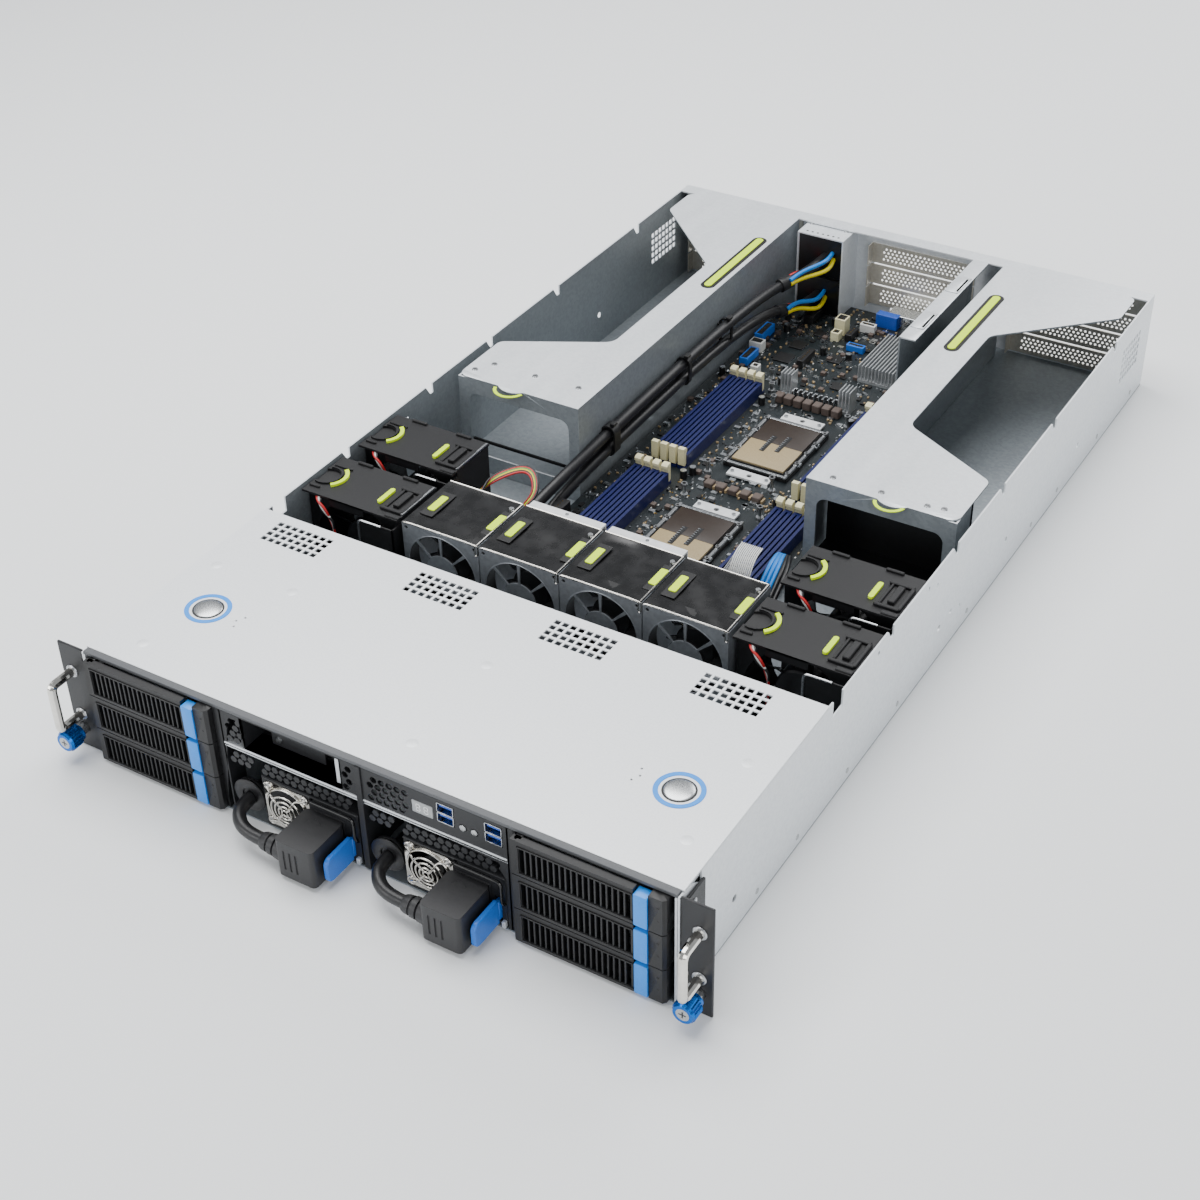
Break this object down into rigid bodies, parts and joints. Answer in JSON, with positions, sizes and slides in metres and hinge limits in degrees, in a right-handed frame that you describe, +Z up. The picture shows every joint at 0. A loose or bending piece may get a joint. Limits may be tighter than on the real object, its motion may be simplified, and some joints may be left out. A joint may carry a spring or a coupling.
{
  "type": "2u rack server",
  "caption": "Rack-mounting server case with its rear lid off, showing fan wall, two-socket board and riser cages; drive trays and power supplies at the front.",
  "frame": {"origin": "on the underside, in the middle of the footprint of the case without its two mains leads and plugs", "axes": "+Z up, +Y to the rear, +X to the right as seen from the front"},
  "size_m": [0.4826, 0.8339, 0.088],
  "materials": {
    "steel_sheet": "galvanised sheet",
    "painted_cover": "matt light grey paint",
    "black_panel": "fine textured black powder coat",
    "black_plastic": "moulded",
    "blue_plastic": "moulded",
    "blue_knurled": "blue anodised, knurled",
    "mixed_fittings": "moulded and plated fittings",
    "supply_case": "satin",
    "button_metal": "turned",
    "cable_black": "matt",
    "board": "solder mask",
    "socket_steel": "stamped",
    "socket_blue": "moulded",
    "latch_cream": "moulded"
  },
  "bodies": {
    "chassis": {"floor_pan": "steel_sheet", "left_wall": "steel_sheet", "right_wall": "steel_sheet", "rear_panel": "steel_sheet", "slot_covers": "steel_sheet", "power_inlets": "black_plastic", "drive_cages": "steel_sheet", "rack_ears": "black_panel", "front_panel": "black_panel", "panel_fittings": "mixed_fittings", "power_supplies": "supply_case", "left_lead": "cable_black", "right_lead": "cable_black", "centre_fan_frames": "steel_sheet", "side_fan_frames": "black_plastic", "mainboard": "board", "cpu_sockets": "socket_steel", "dimm_sockets": "socket_blue"},
    "left_thumbscrew": {"left_thumbscrew": "blue_knurled"},
    "right_thumbscrew": {"right_thumbscrew": "blue_knurled"},
    "front_cover": {"front_cover": "painted_cover"},
    "left_cover_button": {"left_cover_button": "painted_cover"},
    "right_cover_button": {"right_cover_button": "painted_cover"},
    "drive_tray_1": {"drive_tray_1": "steel_sheet"},
    "tray_lever_1": {"tray_lever_1": "black_plastic"},
    "tray_latch_1": {"tray_latch_1": "blue_plastic"},
    "drive_tray_2": {"drive_tray_2": "steel_sheet"},
    "tray_lever_2": {"tray_lever_2": "black_plastic"},
    "tray_latch_2": {"tray_latch_2": "blue_plastic"},
    "drive_tray_3": {"drive_tray_3": "steel_sheet"},
    "tray_lever_3": {"tray_lever_3": "black_plastic"},
    "tray_latch_3": {"tray_latch_3": "blue_plastic"},
    "drive_tray_4": {"drive_tray_4": "steel_sheet"},
    "tray_lever_4": {"tray_lever_4": "black_plastic"},
    "tray_latch_4": {"tray_latch_4": "blue_plastic"},
    "drive_tray_5": {"drive_tray_5": "steel_sheet"},
    "tray_lever_5": {"tray_lever_5": "black_plastic"},
    "tray_latch_5": {"tray_latch_5": "blue_plastic"},
    "drive_tray_6": {"drive_tray_6": "steel_sheet"},
    "tray_lever_6": {"tray_lever_6": "black_plastic"},
    "tray_latch_6": {"tray_latch_6": "blue_plastic"},
    "power_button": {"power_button": "button_metal"},
    "id_button": {"id_button": "button_metal"},
    "left_plug": {"left_plug": "black_plastic"},
    "left_supply_lever": {"left_supply_lever": "blue_plastic"},
    "right_plug": {"right_plug": "black_plastic"},
    "right_supply_lever": {"right_supply_lever": "blue_plastic"},
    "centre_rotor_1": {"centre_rotor_1": "black_plastic"},
    "centre_rotor_2": {"centre_rotor_2": "black_plastic"},
    "centre_rotor_3": {"centre_rotor_3": "black_plastic"},
    "centre_rotor_4": {"centre_rotor_4": "black_plastic"},
    "left_side_rotors": {"left_side_rotors": "black_plastic"},
    "right_side_rotors": {"right_side_rotors": "black_plastic"},
    "left_riser": {"left_riser": "steel_sheet"},
    "right_riser": {"right_riser": "steel_sheet"},
    "middle_riser": {"middle_riser": "steel_sheet"},
    "dimm_latches_1": {"dimm_latches_1": "latch_cream"},
    "dimm_latches_2": {"dimm_latches_2": "latch_cream"},
    "dimm_latches_3": {"dimm_latches_3": "latch_cream"},
    "dimm_latches_4": {"dimm_latches_4": "latch_cream"}
  },
  "joints": [
    {"name": "left_thumbscrew_turn", "type": "hinge", "parent": "chassis", "child": "left_thumbscrew", "pos_m": [-0.23255, -0.39625, 0.0175], "axis": [0, 1, 0], "continuous": true},
    {"name": "right_thumbscrew_turn", "type": "hinge", "parent": "chassis", "child": "right_thumbscrew", "pos_m": [0.23255, -0.39625, 0.0175], "axis": [0, 1, 0], "continuous": true},
    {"name": "cover_slide", "type": "slide", "parent": "chassis", "child": "front_cover", "axis": [0, 1, 0], "range_m": [0, 0.014]},
    {"name": "left_cover_button_press", "type": "slide", "parent": "front_cover", "child": "left_cover_button", "axis": [0, 0, -1], "range_m": [0, 0.0016], "stiffness_N_per_m": 400, "springref_m": -0.001},
    {"name": "right_cover_button_press", "type": "slide", "parent": "front_cover", "child": "right_cover_button", "axis": [0, 0, -1], "range_m": [0, 0.0016], "stiffness_N_per_m": 400, "springref_m": -0.001},
    {"name": "tray_1_slide", "type": "slide", "parent": "chassis", "child": "drive_tray_1", "axis": [0, -1, 0], "range_m": [0, 0.14]},
    {"name": "tray_1_lever_swing", "type": "hinge", "parent": "drive_tray_1", "child": "tray_lever_1", "pos_m": [-0.211, -0.38975, 0.01565], "axis": [0, 0, -1], "range_deg": [0, 50]},
    {"name": "tray_1_latch_press", "type": "slide", "parent": "drive_tray_1", "child": "tray_latch_1", "axis": [0, 1, 0], "range_m": [0, 0.0015], "stiffness_N_per_m": 500, "springref_m": -0.001},
    {"name": "tray_2_slide", "type": "slide", "parent": "chassis", "child": "drive_tray_2", "axis": [0, -1, 0], "range_m": [0, 0.14]},
    {"name": "tray_2_lever_swing", "type": "hinge", "parent": "drive_tray_2", "child": "tray_lever_2", "pos_m": [-0.211, -0.38975, 0.04315], "axis": [0, 0, -1], "range_deg": [0, 50]},
    {"name": "tray_2_latch_press", "type": "slide", "parent": "drive_tray_2", "child": "tray_latch_2", "axis": [0, 1, 0], "range_m": [0, 0.0015], "stiffness_N_per_m": 500, "springref_m": -0.001},
    {"name": "tray_3_slide", "type": "slide", "parent": "chassis", "child": "drive_tray_3", "axis": [0, -1, 0], "range_m": [0, 0.14]},
    {"name": "tray_3_lever_swing", "type": "hinge", "parent": "drive_tray_3", "child": "tray_lever_3", "pos_m": [-0.211, -0.38975, 0.07065], "axis": [0, 0, -1], "range_deg": [0, 50]},
    {"name": "tray_3_latch_press", "type": "slide", "parent": "drive_tray_3", "child": "tray_latch_3", "axis": [0, 1, 0], "range_m": [0, 0.0015], "stiffness_N_per_m": 500, "springref_m": -0.001},
    {"name": "tray_4_slide", "type": "slide", "parent": "chassis", "child": "drive_tray_4", "axis": [0, -1, 0], "range_m": [0, 0.14]},
    {"name": "tray_4_lever_swing", "type": "hinge", "parent": "drive_tray_4", "child": "tray_lever_4", "pos_m": [0.115, -0.38975, 0.01565], "axis": [0, 0, -1], "range_deg": [0, 50]},
    {"name": "tray_4_latch_press", "type": "slide", "parent": "drive_tray_4", "child": "tray_latch_4", "axis": [0, 1, 0], "range_m": [0, 0.0015], "stiffness_N_per_m": 500, "springref_m": -0.001},
    {"name": "tray_5_slide", "type": "slide", "parent": "chassis", "child": "drive_tray_5", "axis": [0, -1, 0], "range_m": [0, 0.14]},
    {"name": "tray_5_lever_swing", "type": "hinge", "parent": "drive_tray_5", "child": "tray_lever_5", "pos_m": [0.115, -0.38975, 0.04315], "axis": [0, 0, -1], "range_deg": [0, 50]},
    {"name": "tray_5_latch_press", "type": "slide", "parent": "drive_tray_5", "child": "tray_latch_5", "axis": [0, 1, 0], "range_m": [0, 0.0015], "stiffness_N_per_m": 500, "springref_m": -0.001},
    {"name": "tray_6_slide", "type": "slide", "parent": "chassis", "child": "drive_tray_6", "axis": [0, -1, 0], "range_m": [0, 0.14]},
    {"name": "tray_6_lever_swing", "type": "hinge", "parent": "drive_tray_6", "child": "tray_lever_6", "pos_m": [0.115, -0.38975, 0.07065], "axis": [0, 0, -1], "range_deg": [0, 50]},
    {"name": "tray_6_latch_press", "type": "slide", "parent": "drive_tray_6", "child": "tray_latch_6", "axis": [0, 1, 0], "range_m": [0, 0.0015], "stiffness_N_per_m": 500, "springref_m": -0.001},
    {"name": "power_button_press", "type": "slide", "parent": "chassis", "child": "power_button", "axis": [0, 1, 0], "range_m": [0, 0.001], "stiffness_N_per_m": 300, "springref_m": -0.001},
    {"name": "id_button_press", "type": "slide", "parent": "chassis", "child": "id_button", "axis": [0, 1, 0], "range_m": [0, 0.001], "stiffness_N_per_m": 300, "springref_m": -0.001},
    {"name": "left_plug_pull", "type": "slide", "parent": "chassis", "child": "left_plug", "axis": [0, -1, 0], "range_m": [0, 0.016], "deforming": ["left_lead"]},
    {"name": "left_supply_lever_press", "type": "hinge", "parent": "chassis", "child": "left_supply_lever", "pos_m": [-0.01095, -0.38085, 0.0147], "axis": [0, 0, -1], "range_deg": [0, 3.5], "stiffness_Nm_per_rad": 0.2, "springref_deg": -2.86},
    {"name": "right_plug_pull", "type": "slide", "parent": "chassis", "child": "right_plug", "axis": [0, -1, 0], "range_m": [0, 0.016], "deforming": ["right_lead"]},
    {"name": "right_supply_lever_press", "type": "hinge", "parent": "chassis", "child": "right_supply_lever", "pos_m": [0.09685, -0.38085, 0.0147], "axis": [0, 0, -1], "range_deg": [0, 3.5], "stiffness_Nm_per_rad": 0.2, "springref_deg": -2.86},
    {"name": "centre_rotor_1_spin", "type": "hinge", "parent": "chassis", "child": "centre_rotor_1", "pos_m": [-0.0975, -0.13525, 0.051], "axis": [0, 1, 0], "continuous": true},
    {"name": "centre_rotor_2_spin", "type": "hinge", "parent": "chassis", "child": "centre_rotor_2", "pos_m": [-0.0325, -0.13525, 0.051], "axis": [0, 1, 0], "continuous": true},
    {"name": "centre_rotor_3_spin", "type": "hinge", "parent": "chassis", "child": "centre_rotor_3", "pos_m": [0.0325, -0.13525, 0.051], "axis": [0, 1, 0], "continuous": true},
    {"name": "centre_rotor_4_spin", "type": "hinge", "parent": "chassis", "child": "centre_rotor_4", "pos_m": [0.0975, -0.13525, 0.051], "axis": [0, 1, 0], "continuous": true},
    {"name": "left_side_rotors_spin", "type": "hinge", "parent": "chassis", "child": "left_side_rotors", "pos_m": [-0.175, -0.10125, 0.041], "axis": [0, 1, 0], "continuous": true},
    {"name": "right_side_rotors_spin", "type": "hinge", "parent": "chassis", "child": "right_side_rotors", "pos_m": [0.175, -0.10125, 0.041], "axis": [0, 1, 0], "continuous": true},
    {"name": "left_riser_lift", "type": "slide", "parent": "chassis", "child": "left_riser", "axis": [0, 0, 1], "range_m": [0, 0.07]},
    {"name": "right_riser_lift", "type": "slide", "parent": "chassis", "child": "right_riser", "axis": [0, 0, 1], "range_m": [0, 0.07]},
    {"name": "middle_riser_lift", "type": "slide", "parent": "chassis", "child": "middle_riser", "axis": [0, 0, 1], "range_m": [0, 0.07]},
    {"name": "dimm_latches_1_swing", "type": "hinge", "parent": "chassis", "child": "dimm_latches_1", "pos_m": [0.002, -0.06325, 0.01425], "axis": [1, 0, 0], "range_deg": [0, 22]},
    {"name": "dimm_latches_2_swing", "type": "hinge", "parent": "chassis", "child": "dimm_latches_2", "pos_m": [0.002, 0.07075, 0.01425], "axis": [-1, 0, 0], "range_deg": [0, 22]},
    {"name": "dimm_latches_3_swing", "type": "hinge", "parent": "chassis", "child": "dimm_latches_3", "pos_m": [0.002, 0.09575, 0.01425], "axis": [1, 0, 0], "range_deg": [0, 22]},
    {"name": "dimm_latches_4_swing", "type": "hinge", "parent": "chassis", "child": "dimm_latches_4", "pos_m": [0.002, 0.22975, 0.01425], "axis": [-1, 0, 0], "range_deg": [0, 22]}
  ]
}
